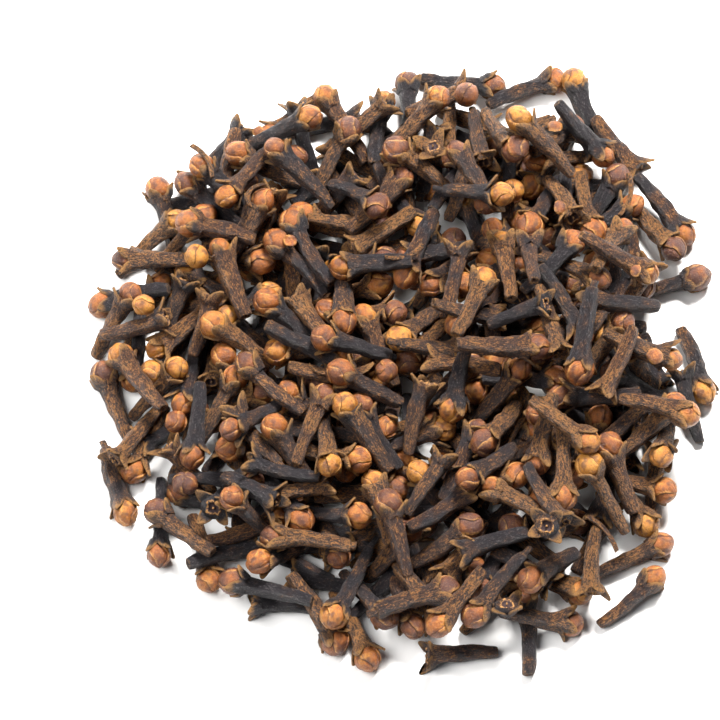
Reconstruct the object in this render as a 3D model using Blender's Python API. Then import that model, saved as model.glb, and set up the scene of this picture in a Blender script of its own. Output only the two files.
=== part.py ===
"""A loose heap of whole dried cloves, as it lies on a bare surface.

Each clove is laid in turn by one rule: it drops until something carries it on both sides of its
middle. Those that show are fused, with few sides, to a mound that stands for the ones below.
Metres, +Z up. The origin is the middle of the flat underside.
"""

import math

import bmesh
import bpy
import numpy as np
from mathutils import Matrix

MM = 0.001

# One clove: a stem, four calyx lobes round its top, and a round bud between them
STEM_LENGTH = (10.2 * MM, 12.8 * MM)
CUT_RADIUS = (0.95 * MM, 1.30 * MM)
NECK_RADIUS = (1.45 * MM, 1.90 * MM)
TAPER = 0.7  # under 1, so that the stem widens soonest near its cut end
BUD_RADIUS = (1.85 * MM, 2.30 * MM)
BUD_CENTRE = 1.3 * MM  # beyond the stem's top
CALYX_RADIUS = 2.35 * MM  # what the lobes rest on, with two of them down
CALYX_CENTRE = 0.7 * MM  # beyond the stem's top
STEM_BOW = 0.6 * MM  # most that a stem's middle stands aside of a straight line
ROLL = (math.radians(25), math.radians(65))  # with two lobes down it lies at 45 degrees
BALANCE = 0.55  # share of the stem, from the cut end, where a clove balances
OPEN_SHARE = 0.2  # of the cloves have lost their bud

# How a clove comes to rest
STATIONS = (0.05, 0.2, 0.35, 0.5, 0.65, 0.8, 0.95)  # shares of a stem where it can be carried
CONTACT = 0.93  # of a radius, as dried cloves aren't round and nestle
STEEPEST = 0.52  # sine of the steepest slope that a dropped clove keeps
SLOPE_ROUNDS = 3
TURN_LENGTH = 4 * MM  # a clove that shifts this far while it settles turns by about a radian

# The heap
HEAP_RADIUS = 53 * MM
SEED = 4
# Layers: cloves, share of the radius, share that leans, clearance round the cloves shown
LOWER_LAYERS = ((106, 1.0, 0.08, 5.5 * MM), (88, 0.98, 0.16, 5.5 * MM))
UPPER_LAYERS = ((66, 0.9, 0, 4.5 * MM), (44, 0.72, 0, 7.5 * MM))
LAYER_INSET = 5 * MM  # of the middles in a full layer, from the heap's radius
LEAN = (0.4, 0.9)  # radians, of those that stand wedged, bud up
LAYER_SHIFT = 2.2 * MM  # how far a clove shifts in its first tries to settle
LAYER_TRIES = 18
TOP_SHIFT = 0.4 * MM
TOP_TRIES = 4
SIGHT_SLOPE = math.tan(math.radians(21))  # the photograph looks down 21 degrees off the upright
SIGHT_ROUNDS = 4
GOLDEN_ANGLE = math.pi * (3 - math.sqrt(5))

# The rim on the side that the photograph hides
HIDDEN_FROM, HIDDEN_TO = math.radians(100), math.radians(260)
HIDDEN_COUNT = 15
HIDDEN_JITTER = 0.7  # of the space that each clove has
HIDDEN_INSET = (3 * MM, 8 * MM)
HIDDEN_HEADING = (0.7, 2.2)  # radians to either side of straight out
HIDDEN_SHIFT = 1 * MM
HIDDEN_TRIES = 6

# The clove with few sides
SQUARE = 1.15  # corner of a square ring, of the radius of the round one
LOBE_REACH = 1.3 * MM  # the calyx's widest, beyond the stem's top
LOBE_SPREAD = 2.9 * MM  # and from the middle line
BLUNT_REACH = 0.85  # the bud's flat top, of its radius
BLUNT_SPREAD = 0.7
CUP_FLOOR = 0.3 * MM  # middle of an open clove's cup, beyond the stem's top
LEAST_LIFT = 0.04 * MM  # undersides lie this much above the mound's, and vary
LIFT_RANGE = 0.12 * MM

# The mound under the cloves that show
NODE = "clove_heap"
SHOWING_COUNT = 248
COVERING = 0.8  # of its radius, how near its middle line a higher ball hides what is below
PAST_EDGE_WEIGHT = 2  # of a ball past the mound's edge, against 1 for a ball in sight
EDGE_INSET = 5.0 * MM  # from the outermost clove near by
EDGE_FALL = 80 * MM  # how fast the edge falls back beside it, for each squared radian
EDGE_HEIGHT = 1.2 * MM
PROBE = 3.0 * MM  # radius of the ball that feels for the top of the hidden cloves
SMOOTHING = 4.0 * MM
SMOOTHING_POINTS = 6
SUNK = 0.5 * MM  # the mound's top, under the smoothed top of the hidden cloves
RING_SHARES = (0.18, 0.38, 0.58, 0.8, 1.0)  # of the reach
SECTORS = 40

CLOVE_COLOUR = (0.100, 0.058, 0.038, 1)
CLOVE_ROUGHNESS = 0.7

# Cloves that the photograph shows at the rim: where its line of sight through the clove's middle
# meets the floor, in mm, heading in degrees, kind
RIM_CLOVES = (
    (8.5, 52.5, -9, "bud"),
    (19.5, 50, 25, "bud"),
    (31.5, 46, 115, "bud"),
    (36, 40.5, -50, "open"),
    (43, 29.5, -50, "bud"),
    (41.5, 26, -56, "bud"),
    (43, 14, 16, "bud"),
    (48, 1, -73, "bud"),
    (47.5, -7, 105, "open"),
    (41.5, -20.5, 83, "open"),
    (36, -35, 25, "bud"),
    (36, -42, 40, "bud"),
    (19.5, -48, 93, "bud"),
    (8.5, -51, -175, "open"),
)

# Cloves that it shows on top of the heap, in the same terms, from the lower ones up
TOP_CLOVES = (
    (12, 40.5, -75, "open"),
    (1.5, 44, 35, "bud"),
    (11.5, 33.5, 120, "bud"),
    (24.5, 40, 65, "bud"),
    (29.5, 43.5, -50, "bud"),
    (27, 30.5, -75, "open"),
    (30.5, 30, -80, "bud"),
    (26, 18, -25, "bud"),
    (22.5, 17, 45, "bud"),
    (34, 20, 55, "bud"),
    (38, 14.5, 55, "open"),
    (8, 16, 70, "open"),
    (9.5, 8.5, 0, "bud"),
    (25, 12, -65, "bud"),
    (24, 8.5, -80, "open"),
    (38, 4, -10, "bud"),
    (9.5, 0.5, 170, "open"),
    (9, -1, -105, "bud"),
    (1.5, -9, 75, "open"),
    (3, -21.5, 55, "open"),
    (15.5, -10, -115, "bud"),
    (23, -11, -105, "bud"),
    (25.5, -16, -90, "bud"),
    (18.5, -24.5, 150, "bud"),
    (35, -19, 115, "bud"),
    (33, -23.5, 115, "bud"),
    (5.5, -32, 35, "bud"),
    (24, -35.5, -140, "bud"),
    (20.5, -44, -10, "bud"),
    (15, -38, -130, "bud"),
    (0.5, -40.5, 25, "bud"),
    (9, -40.5, -125, "bud"),
    (16, 42.5, -64, "bud"),
    (22.5, 40, 133, "bud"),
    (10.5, 31.5, -12, "bud"),
    (33.5, 20.5, -25, "bud"),
    (17, 18, 110, "bud"),
    (20.5, 18.5, 95, "open"),
    (10, 10.5, 70, "bud"),
    (35.5, 11, -180, "open"),
    (14.5, 3.5, 0, "bud"),
    (29.5, 6, -100, "bud"),
    (34.5, 1, -115, "open"),
    (24.5, -10, -35, "bud"),
    (41, -7, -15, "bud"),
    (22.5, -22, -65, "open"),
    (4.5, -26, 40, "open"),
    (14, -32, -160, "open"),
    (30.5, -34.5, -95, "open"),
)


def stem_radius(clove, t):
    """Radius at share t of the stem, from the cut end to the calyx."""
    return clove.cut + (clove.neck - clove.cut) * np.asarray(t) ** TAPER


class Clove:
    """One clove: its own sizes, and where it lies once it is laid."""

    def __init__(self, rng, kind=None):
        drawn_kind = "open" if rng.random() < OPEN_SHARE else "bud"
        self.kind = kind or drawn_kind
        self.stem = rng.uniform(*STEM_LENGTH)
        self.cut = rng.uniform(*CUT_RADIUS)
        self.neck = rng.uniform(*NECK_RADIUS)
        self.bud = rng.uniform(*BUD_RADIUS)
        self.bow = rng.uniform(-STEM_BOW, STEM_BOW)
        self.roll = rng.uniform(*ROLL)
        self.tint = rng.random()
        self.middle = BALANCE * self.stem
        self.x = self.y = self.z = self.heading = self.tilt = 0.0

    def chain(self):
        """Balls that stand for the clove where it touches: place along it, place aside, radius."""
        t = np.array(STATIONS)
        along = np.append(t * self.stem, self.stem + CALYX_CENTRE)
        aside = np.append(self.bow * 4 * t * (1 - t), 0)
        radius = np.append(stem_radius(self, t), CALYX_RADIUS)
        if self.kind == "bud":
            along = np.append(along, self.stem + BUD_CENTRE)
            aside = np.append(aside, 0)
            radius = np.append(radius, self.bud)
        return along - self.middle, aside, radius * CONTACT

    def matrix(self):
        """From the clove's own frame, where +X runs from the cut end to the bud, to the heap's."""
        turn = Matrix.Rotation(self.heading, 4, "Z") @ Matrix.Rotation(-self.tilt, 4, "Y")
        return Matrix.Translation((self.x, self.y, self.z)) @ turn

    def balls(self):
        """The chain where the clove lies, as rows of x, y, z, radius."""
        along, aside, radius = self.chain()
        points = np.stack([along, aside, np.zeros_like(along), np.ones_like(along)])
        placed = np.array(self.matrix()) @ points
        return np.column_stack([placed[:3].T, radius])


def carried(balls, x, y, radius):
    """How high each ball of this radius at x, y lies, on the floor or on the balls given."""
    between = radius[:, None] + balls[:, 3]
    apart = (x[:, None] - balls[:, 0]) ** 2 + (y[:, None] - balls[:, 1]) ** 2
    room = np.maximum(between**2 - apart, 0)
    on_others = np.where(room > 0, balls[:, 2] + np.sqrt(room), 0)
    return np.maximum(radius, on_others.max(axis=1, initial=0))


class Heap:
    """The cloves laid so far."""

    def __init__(self, rng):
        self.rng = rng
        self.cloves = []
        self.balls = np.zeros((0, 4))

    def rest(self, clove, x, y, heading, lean=None):
        """Height and tilt at which the clove comes to rest there: the lowest for its middle."""
        along, aside, radius = clove.chain()
        back, front = along <= 0, along > 0
        rise = math.sin(lean) if lean else 0.0
        for _ in range(SLOPE_ROUNDS):
            run = along * math.sqrt(1 - rise * rise)
            high = carried(
                self.balls,
                x + run * math.cos(heading) - aside * math.sin(heading),
                y + run * math.sin(heading) + aside * math.cos(heading),
                radius,
            )
            if lean:
                break
            span = along[front] - along[back][:, None]
            step = high[front] - high[back][:, None]
            under = high[back][:, None] - along[back][:, None] * step / span
            held = np.unravel_index(under.argmax(), under.shape)
            rise = float(np.clip(step[held] / span[held], -STEEPEST, STEEPEST))
        return float((high - along * rise).max()), math.asin(rise)

    def outside(self, clove, x, y, heading):
        """How far the clove's farther end lies outside the heap."""
        run = clove.middle * math.cos(heading), clove.middle * math.sin(heading)
        farther = max(math.hypot(x + run[0], y + run[1]), math.hypot(x - run[0], y - run[1]))
        return max(0.0, farther - HEAP_RADIUS)

    def lay(self, clove, x, y, heading, shift=0.0, tries=0, lean=None):
        """Lays the clove near x, y. It shifts and turns to the lowest of the places that it tries."""
        place = (x, y, heading)
        rest = self.rest(clove, *place, lean)
        cost = rest[0] + self.outside(clove, *place)
        for attempt in range(tries):
            reach = shift * (1 - attempt / tries)
            dx, dy, turn = reach * self.rng.normal(size=3)
            new_place = (place[0] + dx, place[1] + dy, place[2] + turn / TURN_LENGTH)
            new_rest = self.rest(clove, *new_place, lean)
            new_cost = new_rest[0] + self.outside(clove, *new_place)
            if new_cost < cost:
                place, rest, cost = new_place, new_rest, new_cost
        clove.x, clove.y, clove.heading = place
        clove.z, clove.tilt = rest
        self.cloves.append(clove)
        self.balls = np.vstack([self.balls, clove.balls()])


def lay_shown(heap, rows, shift=0.0, tries=0):
    """Lays cloves where the photograph shows them: the higher one lies, the nearer to the camera."""
    for x, y, heading, kind in rows:
        clove = Clove(heap.rng, kind)
        place, heading = [x * MM, y * MM], math.radians(heading)
        for _ in range(SIGHT_ROUNDS):
            place[1] = y * MM - SIGHT_SLOPE * heap.rest(clove, *place, heading)[0]
        heap.lay(clove, *place, heading, shift, tries)


def lay_hidden_rim(heap):
    """Lays the rim on the side that the photograph hides, with no clove pointing straight out."""
    rng = heap.rng
    for i in range(HIDDEN_COUNT):
        share = (i + HIDDEN_JITTER * rng.random()) / HIDDEN_COUNT
        round_it = HIDDEN_FROM + share * (HIDDEN_TO - HIDDEN_FROM)
        out = HEAP_RADIUS - rng.uniform(*HIDDEN_INSET)
        heading = round_it + rng.choice((-1, 1)) * rng.uniform(*HIDDEN_HEADING)
        place = (out * math.cos(round_it), out * math.sin(round_it))
        heap.lay(Clove(rng), *place, heading, HIDDEN_SHIFT, HIDDEN_TRIES)


def lay_layer(heap, count, share, leaning, clearance, shown):
    """Lays an even layer of cloves, except on those that the photograph shows."""
    rng = heap.rng
    start = rng.uniform(0, 2 * math.pi)
    for i in rng.permutation(count):
        out = share * (HEAP_RADIUS - LAYER_INSET) * math.sqrt((i + 0.5) / count)
        round_it = start + i * GOLDEN_ANGLE
        x, y = out * math.cos(round_it), out * math.sin(round_it)
        if any(math.hypot(x - row[0] * MM, y - row[1] * MM) < clearance for row in shown):
            continue
        lean = rng.uniform(*LEAN) if rng.random() < leaning else None
        heading = rng.uniform(0, 2 * math.pi)
        heap.lay(Clove(rng), x, y, heading, LAYER_SHIFT, LAYER_TRIES, lean)


def lay_heap():
    """Lays the whole heap, from the rim and the floor up."""
    heap = Heap(np.random.default_rng(SEED))
    lay_shown(heap, RIM_CLOVES)
    lay_hidden_rim(heap)
    for layer in LOWER_LAYERS:
        lay_layer(heap, *layer, RIM_CLOVES)
    lay_layer(heap, *UPPER_LAYERS[0], RIM_CLOVES + TOP_CLOVES)
    lay_shown(heap, TOP_CLOVES, TOP_SHIFT, TOP_TRIES)
    lay_layer(heap, *UPPER_LAYERS[1], RIM_CLOVES + TOP_CLOVES)
    return heap


def few_sided(clove):
    """The clove as points and triangles: square rings from the cut end to the bud or the cup."""
    rings = [(0, clove.cut * SQUARE), (clove.stem, clove.neck * SQUARE)]
    rings.append((clove.stem + LOBE_REACH, LOBE_SPREAD))
    if clove.kind == "bud":
        rings.append((clove.stem + BUD_CENTRE + BLUNT_REACH * clove.bud, BLUNT_SPREAD * clove.bud))
    corners = clove.roll + np.arange(4) * math.pi / 2
    points = []
    for along, radius in rings:
        points += [(along - clove.middle, radius * math.cos(a), radius * math.sin(a)) for a in corners]
    last = len(points)
    faces = [(0, 1, 2), (0, 2, 3)]
    for first in range(0, last - 4, 4):
        for k in range(4):
            n = (k + 1) % 4
            faces += [(first + k, first + 4 + k, first + 4 + n), (first + k, first + 4 + n, first + n)]
    if clove.kind == "bud":
        faces += [(last - 4, last - 2, last - 3), (last - 4, last - 1, last - 2)]
    else:
        points.append((clove.stem + CUP_FLOOR - clove.middle, 0, 0))
        faces += [(last - 4 + k, last, last - 4 + (k + 1) % 4) for k in range(4)]
    placed = np.column_stack([points, np.ones(len(points))]) @ np.array(clove.matrix()).T
    placed[:, 2] = np.maximum(placed[:, 2], LEAST_LIFT + LIFT_RANGE * clove.tint)
    return placed[:, :3], [face[::-1] for face in faces]


def by_sight(heap):
    """The cloves, from the one with the most of its length in sight or past the mound's edge."""
    owner = np.repeat(np.arange(len(heap.cloves)), [len(c.chain()[0]) for c in heap.cloves])
    x, y, z, radius = heap.balls.T
    apart = np.hypot(x[:, None] - x, y[:, None] - y)
    over = (apart < COVERING * radius) & (z > z[:, None]) & (owner != owner[:, None])
    past_edge = np.hypot(x, y) > [mound_reach(heap, angle) for angle in np.arctan2(y, x)]
    seen = np.bincount(owner, weights=~over.any(axis=1) + PAST_EDGE_WEIGHT * past_edge)
    return [heap.cloves[i] for i in np.argsort(-seen, kind="stable")]


def mound_reach(heap, angle):
    """How far the mound runs from the middle in this direction: a little less than the cloves do."""
    x, y = heap.balls[:, 0], heap.balls[:, 1]
    aside = (np.arctan2(y, x) - angle + math.pi) % (2 * math.pi) - math.pi
    return float((np.hypot(x, y) - EDGE_FALL * aside**2).max()) - EDGE_INSET


def mound_height(hidden, x, y):
    """Height of the mound at a point: the smoothed top of the hidden cloves there."""
    turn = np.arange(SMOOTHING_POINTS) * 2 * math.pi / SMOOTHING_POINTS
    near_x = np.append(x + SMOOTHING * np.cos(turn), x)
    near_y = np.append(y + SMOOTHING * np.sin(turn), y)
    top = carried(hidden, near_x, near_y, np.full(len(near_x), PROBE)) - PROBE
    return max(float(top.mean()) - SUNK, EDGE_HEIGHT)


def build_mound(heap, hidden):
    """A mound over the hidden cloves: rings of points about the middle, closed flat below."""
    points = [(0, 0, mound_height(hidden, 0, 0)), (0, 0, 0)]
    for share in RING_SHARES:
        for k in range(SECTORS):
            angle = k * 2 * math.pi / SECTORS
            out = share * mound_reach(heap, angle)
            x, y = out * math.cos(angle), out * math.sin(angle)
            edge = share == RING_SHARES[-1]
            points.append((x, y, EDGE_HEIGHT if edge else mound_height(hidden, x, y)))
    points += [(x, y, 0) for x, y, _ in points[-SECTORS:]]
    rings = [2 + i * SECTORS for i in range(len(RING_SHARES) + 1)]
    faces = []
    for k in range(SECTORS):
        n = (k + 1) % SECTORS
        faces += [(0, rings[0] + k, rings[0] + n), (1, rings[-1] + n, rings[-1] + k)]
        for inner, outer in zip(rings, rings[1:]):
            faces += [(inner + k, outer + k, outer + n), (inner + k, outer + n, inner + n)]
    return points, faces


def add_object(name, points, faces):
    mesh = bpy.data.meshes.new(name)
    mesh.from_pydata([tuple(point) for point in points], [], faces)
    return bpy.data.objects.new(name, mesh)


def fuse(heap):
    """One closed body of the cloves that show and the mound over the hidden ones."""
    ranked = by_sight(heap)
    pieces, hidden = ranked[:SHOWING_COUNT], ranked[SHOWING_COUNT:]
    node = add_object(NODE, *build_mound(heap, np.vstack([clove.balls() for clove in hidden])))
    bpy.context.scene.collection.objects.link(node)
    parts = bpy.data.collections.new("pieces")
    bpy.context.scene.collection.children.link(parts)
    for i, clove in enumerate(pieces):
        parts.objects.link(add_object(f"piece_{i}", *few_sided(clove)))
    join = node.modifiers.new("join", "BOOLEAN")
    join.operation = "UNION"
    join.operand_type = "COLLECTION"
    join.collection = parts
    join.solver = "EXACT"
    bpy.context.view_layer.objects.active = node
    bpy.ops.object.modifier_apply(modifier=join.name)
    for piece in list(parts.objects):
        bpy.data.objects.remove(piece)
    bpy.data.collections.remove(parts)
    keep_largest_shell(node.data)
    return node


def keep_largest_shell(mesh):
    """Removes loose scraps and the walls of sealed hollows: every shell but the largest."""
    edited = bmesh.new()
    edited.from_mesh(mesh)
    left = set(edited.verts)
    shells = []
    while left:
        shell = {left.pop()}
        edge = list(shell)
        while edge:
            nearby = {e.other_vert(v) for v in edge for e in v.link_edges} - shell
            shell |= nearby
            edge = list(nearby)
        left -= shell
        shells.append(shell)
    shells.sort(key=len)
    for shell in shells[:-1]:
        bmesh.ops.delete(edited, geom=list(shell), context="VERTS")
    edited.to_mesh(mesh)
    edited.free()


def clove_material():
    material = bpy.data.materials.new("dried_clove")
    material.use_nodes = True
    shader = material.node_tree.nodes["Principled BSDF"]
    shader.inputs["Base Color"].default_value = CLOVE_COLOUR
    shader.inputs["Roughness"].default_value = CLOVE_ROUGHNESS
    return material


for existing in list(bpy.data.objects):
    bpy.data.objects.remove(existing)
laid = lay_heap()
heap_node = fuse(laid)
heap_node.data.materials.clear()
heap_node.data.materials.append(clove_material())
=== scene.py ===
"""A loose heap of whole dried cloves on a white table, seen from above.

Every clove is laid by the rule that also gives the fused model, and is then modelled in full:
a grained stem with a collar, four calyx lobes, and a bud of four folded petals or the cup it left.
Metres, +Z up. The heap's middle is the origin.
"""

import math

import bpy
import numpy as np
from mathutils import Matrix, Vector


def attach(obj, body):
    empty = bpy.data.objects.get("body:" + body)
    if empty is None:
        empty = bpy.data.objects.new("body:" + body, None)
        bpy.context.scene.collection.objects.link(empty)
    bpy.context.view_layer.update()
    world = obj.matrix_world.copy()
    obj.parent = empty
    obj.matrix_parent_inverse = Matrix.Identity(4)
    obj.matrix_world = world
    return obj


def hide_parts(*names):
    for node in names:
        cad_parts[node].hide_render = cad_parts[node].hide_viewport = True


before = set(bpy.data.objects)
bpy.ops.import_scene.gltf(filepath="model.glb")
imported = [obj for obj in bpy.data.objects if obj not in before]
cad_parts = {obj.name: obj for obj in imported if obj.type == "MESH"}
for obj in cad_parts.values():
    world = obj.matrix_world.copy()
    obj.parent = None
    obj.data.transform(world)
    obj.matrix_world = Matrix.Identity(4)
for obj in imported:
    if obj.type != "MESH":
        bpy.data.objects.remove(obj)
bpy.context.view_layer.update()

MM = 0.001

# One clove: a stem, four calyx lobes round its top, and a round bud between them
STEM_LENGTH = (10.2 * MM, 12.8 * MM)
CUT_RADIUS = (0.95 * MM, 1.30 * MM)
NECK_RADIUS = (1.45 * MM, 1.90 * MM)
TAPER = 0.7  # under 1, so that the stem widens soonest near its cut end
BUD_RADIUS = (1.85 * MM, 2.30 * MM)
BUD_CENTRE = 1.3 * MM  # beyond the stem's top
CALYX_RADIUS = 2.35 * MM  # what the lobes rest on, with two of them down
CALYX_CENTRE = 0.7 * MM  # beyond the stem's top
STEM_BOW = 0.6 * MM  # most that a stem's middle stands aside of a straight line
ROLL = (math.radians(25), math.radians(65))  # with two lobes down it lies at 45 degrees
BALANCE = 0.55  # share of the stem, from the cut end, where a clove balances
OPEN_SHARE = 0.2  # of the cloves have lost their bud

# How a clove comes to rest
STATIONS = (0.05, 0.2, 0.35, 0.5, 0.65, 0.8, 0.95)  # shares of a stem where it can be carried
CONTACT = 0.93  # of a radius, as dried cloves aren't round and nestle
STEEPEST = 0.52  # sine of the steepest slope that a dropped clove keeps
SLOPE_ROUNDS = 3
TURN_LENGTH = 4 * MM  # a clove that shifts this far while it settles turns by about a radian

# The heap
HEAP_RADIUS = 53 * MM
SEED = 4
# Layers: cloves, share of the radius, share that leans, clearance round the cloves shown
LOWER_LAYERS = ((106, 1.0, 0.08, 5.5 * MM), (88, 0.98, 0.16, 5.5 * MM))
UPPER_LAYERS = ((66, 0.9, 0, 4.5 * MM), (44, 0.72, 0, 7.5 * MM))
LAYER_INSET = 5 * MM  # of the middles in a full layer, from the heap's radius
LEAN = (0.4, 0.9)  # radians, of those that stand wedged, bud up
LAYER_SHIFT = 2.2 * MM  # how far a clove shifts in its first tries to settle
LAYER_TRIES = 18
TOP_SHIFT = 0.4 * MM
TOP_TRIES = 4
SIGHT_SLOPE = math.tan(math.radians(21))  # the photograph looks down 21 degrees off the upright
SIGHT_ROUNDS = 4
GOLDEN_ANGLE = math.pi * (3 - math.sqrt(5))

# The rim on the side that the photograph hides
HIDDEN_FROM, HIDDEN_TO = math.radians(100), math.radians(260)
HIDDEN_COUNT = 15
HIDDEN_JITTER = 0.7  # of the space that each clove has
HIDDEN_INSET = (3 * MM, 8 * MM)
HIDDEN_HEADING = (0.7, 2.2)  # radians to either side of straight out
HIDDEN_SHIFT = 1 * MM
HIDDEN_TRIES = 6

# Cloves that the photograph shows at the rim: where its line of sight through the clove's middle
# meets the floor, in mm, heading in degrees, kind
RIM_CLOVES = (
    (8.5, 52.5, -9, "bud"),
    (19.5, 50, 25, "bud"),
    (31.5, 46, 115, "bud"),
    (36, 40.5, -50, "open"),
    (43, 29.5, -50, "bud"),
    (41.5, 26, -56, "bud"),
    (43, 14, 16, "bud"),
    (48, 1, -73, "bud"),
    (47.5, -7, 105, "open"),
    (41.5, -20.5, 83, "open"),
    (36, -35, 25, "bud"),
    (36, -42, 40, "bud"),
    (19.5, -48, 93, "bud"),
    (8.5, -51, -175, "open"),
)

# Cloves that it shows on top of the heap, in the same terms, from the lower ones up
TOP_CLOVES = (
    (12, 40.5, -75, "open"),
    (1.5, 44, 35, "bud"),
    (11.5, 33.5, 120, "bud"),
    (24.5, 40, 65, "bud"),
    (29.5, 43.5, -50, "bud"),
    (27, 30.5, -75, "open"),
    (30.5, 30, -80, "bud"),
    (26, 18, -25, "bud"),
    (22.5, 17, 45, "bud"),
    (34, 20, 55, "bud"),
    (38, 14.5, 55, "open"),
    (8, 16, 70, "open"),
    (9.5, 8.5, 0, "bud"),
    (25, 12, -65, "bud"),
    (24, 8.5, -80, "open"),
    (38, 4, -10, "bud"),
    (9.5, 0.5, 170, "open"),
    (9, -1, -105, "bud"),
    (1.5, -9, 75, "open"),
    (3, -21.5, 55, "open"),
    (15.5, -10, -115, "bud"),
    (23, -11, -105, "bud"),
    (25.5, -16, -90, "bud"),
    (18.5, -24.5, 150, "bud"),
    (35, -19, 115, "bud"),
    (33, -23.5, 115, "bud"),
    (5.5, -32, 35, "bud"),
    (24, -35.5, -140, "bud"),
    (20.5, -44, -10, "bud"),
    (15, -38, -130, "bud"),
    (0.5, -40.5, 25, "bud"),
    (9, -40.5, -125, "bud"),
    (16, 42.5, -64, "bud"),
    (22.5, 40, 133, "bud"),
    (10.5, 31.5, -12, "bud"),
    (33.5, 20.5, -25, "bud"),
    (17, 18, 110, "bud"),
    (20.5, 18.5, 95, "open"),
    (10, 10.5, 70, "bud"),
    (35.5, 11, -180, "open"),
    (14.5, 3.5, 0, "bud"),
    (29.5, 6, -100, "bud"),
    (34.5, 1, -115, "open"),
    (24.5, -10, -35, "bud"),
    (41, -7, -15, "bud"),
    (22.5, -22, -65, "open"),
    (4.5, -26, 40, "open"),
    (14, -32, -160, "open"),
    (30.5, -34.5, -95, "open"),
)

# A stem in full
STEM_AROUND = 16
STEM_SHARES = np.concatenate([[0.03, 0.06], np.linspace(0.11, 0.97, 19)])
CORNERS = 0.055  # how far the stem's section is squared, of its radius
LUMPS = 0.07  # of its radius
WRINKLES = 0.06  # of its radius
SLENDER = (0.84, 0.98)  # a stem's own thickness, of the radius that it is laid with
SWAY = 0.12 * MM  # of the stem, across its bow
COLLAR = 0.32  # how far a stem widens at the calyx
COLLAR_FROM = 0.76  # share of the stem
CUT_RINGS = np.array([0.45, 0.12, 0.0, 0.10]) * MM  # along it, from the pit's bottom outwards
CUT_SHARES = (0.05, 0.42, 0.70, 0.86, 0.93, 0.97)  # the first rings' radius, of the stem's
END_BEYOND = 0.3 * MM  # the last ring lies this far beyond the stem's top, under the bud
END_SHARE = 0.55  # of the stem's radius

# Its calyx lobes
LOBES = 4
LOBE_TURN = 0.07  # how unevenly they stand round the stem, in radians
LOBE_AROUND = 10
LOBE_SHARES = (0.0, 0.16, 0.34, 0.52, 0.7, 0.86, 0.96, 1.0)
LOBE_ROOT = 0.9 * MM  # below the stem's top
LOBE_ROOT_OUT = 0.66  # of the radius of the stem's top
LOBE_REACH = {"bud": (1.9, 2.8), "open": (1.5, 2.5)}  # mm along the clove
LOBE_OUT = {"bud": (2.7, 3.4), "open": (3.0, 3.8)}  # mm, from the clove's axis to the tip
LOBE_SPREAD = (0.75, 1.2)  # power: under 1 a lobe spreads at its root, over 1 at its tip
LOBE_FLICK = (-0.2, 0.4)  # mm, of the tip, outwards
LOBE_WIDTH = (1.2, 0.1)  # mm, half of it: at the root, and what is left at the tip
LOBE_THICKNESS = (0.42, 0.27)  # mm, half of it, in the same way
LOBE_POINT = 0.04 * MM
LOBE_INSIDE = 0.55  # how thick the inner side is, of the outer
LOBE_AGAINST = 0.3  # share of a lobe from which it stays outside the bud
LOBE_OFF = 0.4  # of half its thickness, how far its middle stays off the bud
LOBE_GAP = 0.06 * MM  # and this much more
LOBE_CURL = (0.12, 0.3)  # of the edges, in mm for each square mm
SHORT_LOBES = 0.12  # of the lobes are short
SHORT_REACH = 0.6  # of a whole one
SHORT_OUT = 0.5 * MM  # nearer

# Its bud
FOLDS = (-1.0, -0.86, -0.5, -0.1, 0.3, 0.66, 0.9, 0.985)  # across one petal, its free edge last
PETALS = 4
BUD_RINGS = 13
BUD_POLE = 0.03  # radians from the axis to the first ring
BUD_TWIST = (0.35, 0.8)  # of the petals, in radians
BUD_SWERVE = (0.14, 0.04)  # of the folds, broad and fine, in radians
BUD_POINT = (0.0, 0.16)  # how far its top is drawn out
BUD_STRETCH = (0.9, 1.04)  # along the clove
BUD_LUMPS = (0.045, 0.022, 0.018)  # of its radius, from the broad ones to the fine ones
FOLD_STEP = 0.055  # how far one petal's edge stands over the next, of the bud's radius
FOLD_STEPS = (0.4, 1.6)  # of FOLD_STEP
FOLD_CROWN = 0.06  # how far a petal's middle stands out

# The cup of an open clove
CUP_RISE = (-0.3, 0.12, 0.32, 0.28, -0.1, -0.2, -0.15, 0.45, 0.55)  # mm beyond the stem's top
CUP_SHARES = (0.98, 0.86, 0.74, 0.60, 0.50, 0.24, 0.13, 0.10, 0.01)  # of the stem's top
CUP_CORNERS = 0.13  # how far it is squared, of its radius
CUP_RAGGED = 0.05  # of its radius
CUP_WALL = slice(2, 4)  # the rings of its wall's top
CUP_WALL_RAGGED = 2.5  # mm up, times how ragged the wall is there
CUP_PHASE = 6  # radians, the most that its raggedness is turned

# The stub of stalk below the stem
STUB_SHARE = 0.14  # of the cloves keep a stub of stalk
STUB_REACH = (0.8, 2.4)  # mm
STUB_ROOT = 0.3 * MM  # inside the stem
STUB_SHARES = (0.62, 0.5, 0.55, 0.02)  # of the cut end's radius
STUB_BEND = (-0.4, 0.4)  # mm
STUB_AROUND = 8

# All of them
BARK = 0.5  # stalks take the skin of the middle of a stem
NOISE_ROOM = 100  # mm, so that no two cloves have the same grain
DETAIL_SEED = 11
HIGHEST = 21.9 * MM  # lobes that would stand above this are cut short

# Which of its piece's materials a part has
STEM_SLOT, BUD_SLOT, CUP_SLOT = 0, 1, 2
ONLY_SLOT = 0

# Pieces of cloves with their bud, from the darkest skin to the palest
TONES = ("cloves_black", "cloves_dark", "cloves_brown", "cloves_ochre")

# Cloves on the table under the others, where only their darkness shows: their tones are held to the
# darkest, as painted shade in the heap's gaps
DEEP_PLACES = 420
DEEP_EXTRA = 9  # one of so many places gets a clove though it isn't bare
DEEP_RADIUS = 42 * MM
# Painted shade: the deep cloves' tints are scaled down to the darkest tones
DEEP_SHADE_TINT = 0.2  # of the range of tones
BARE_BALL = 0.2 * MM  # a place is bare where a ball of this radius
BARE_BELOW = 0.3 * MM  # comes to rest below this

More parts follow.
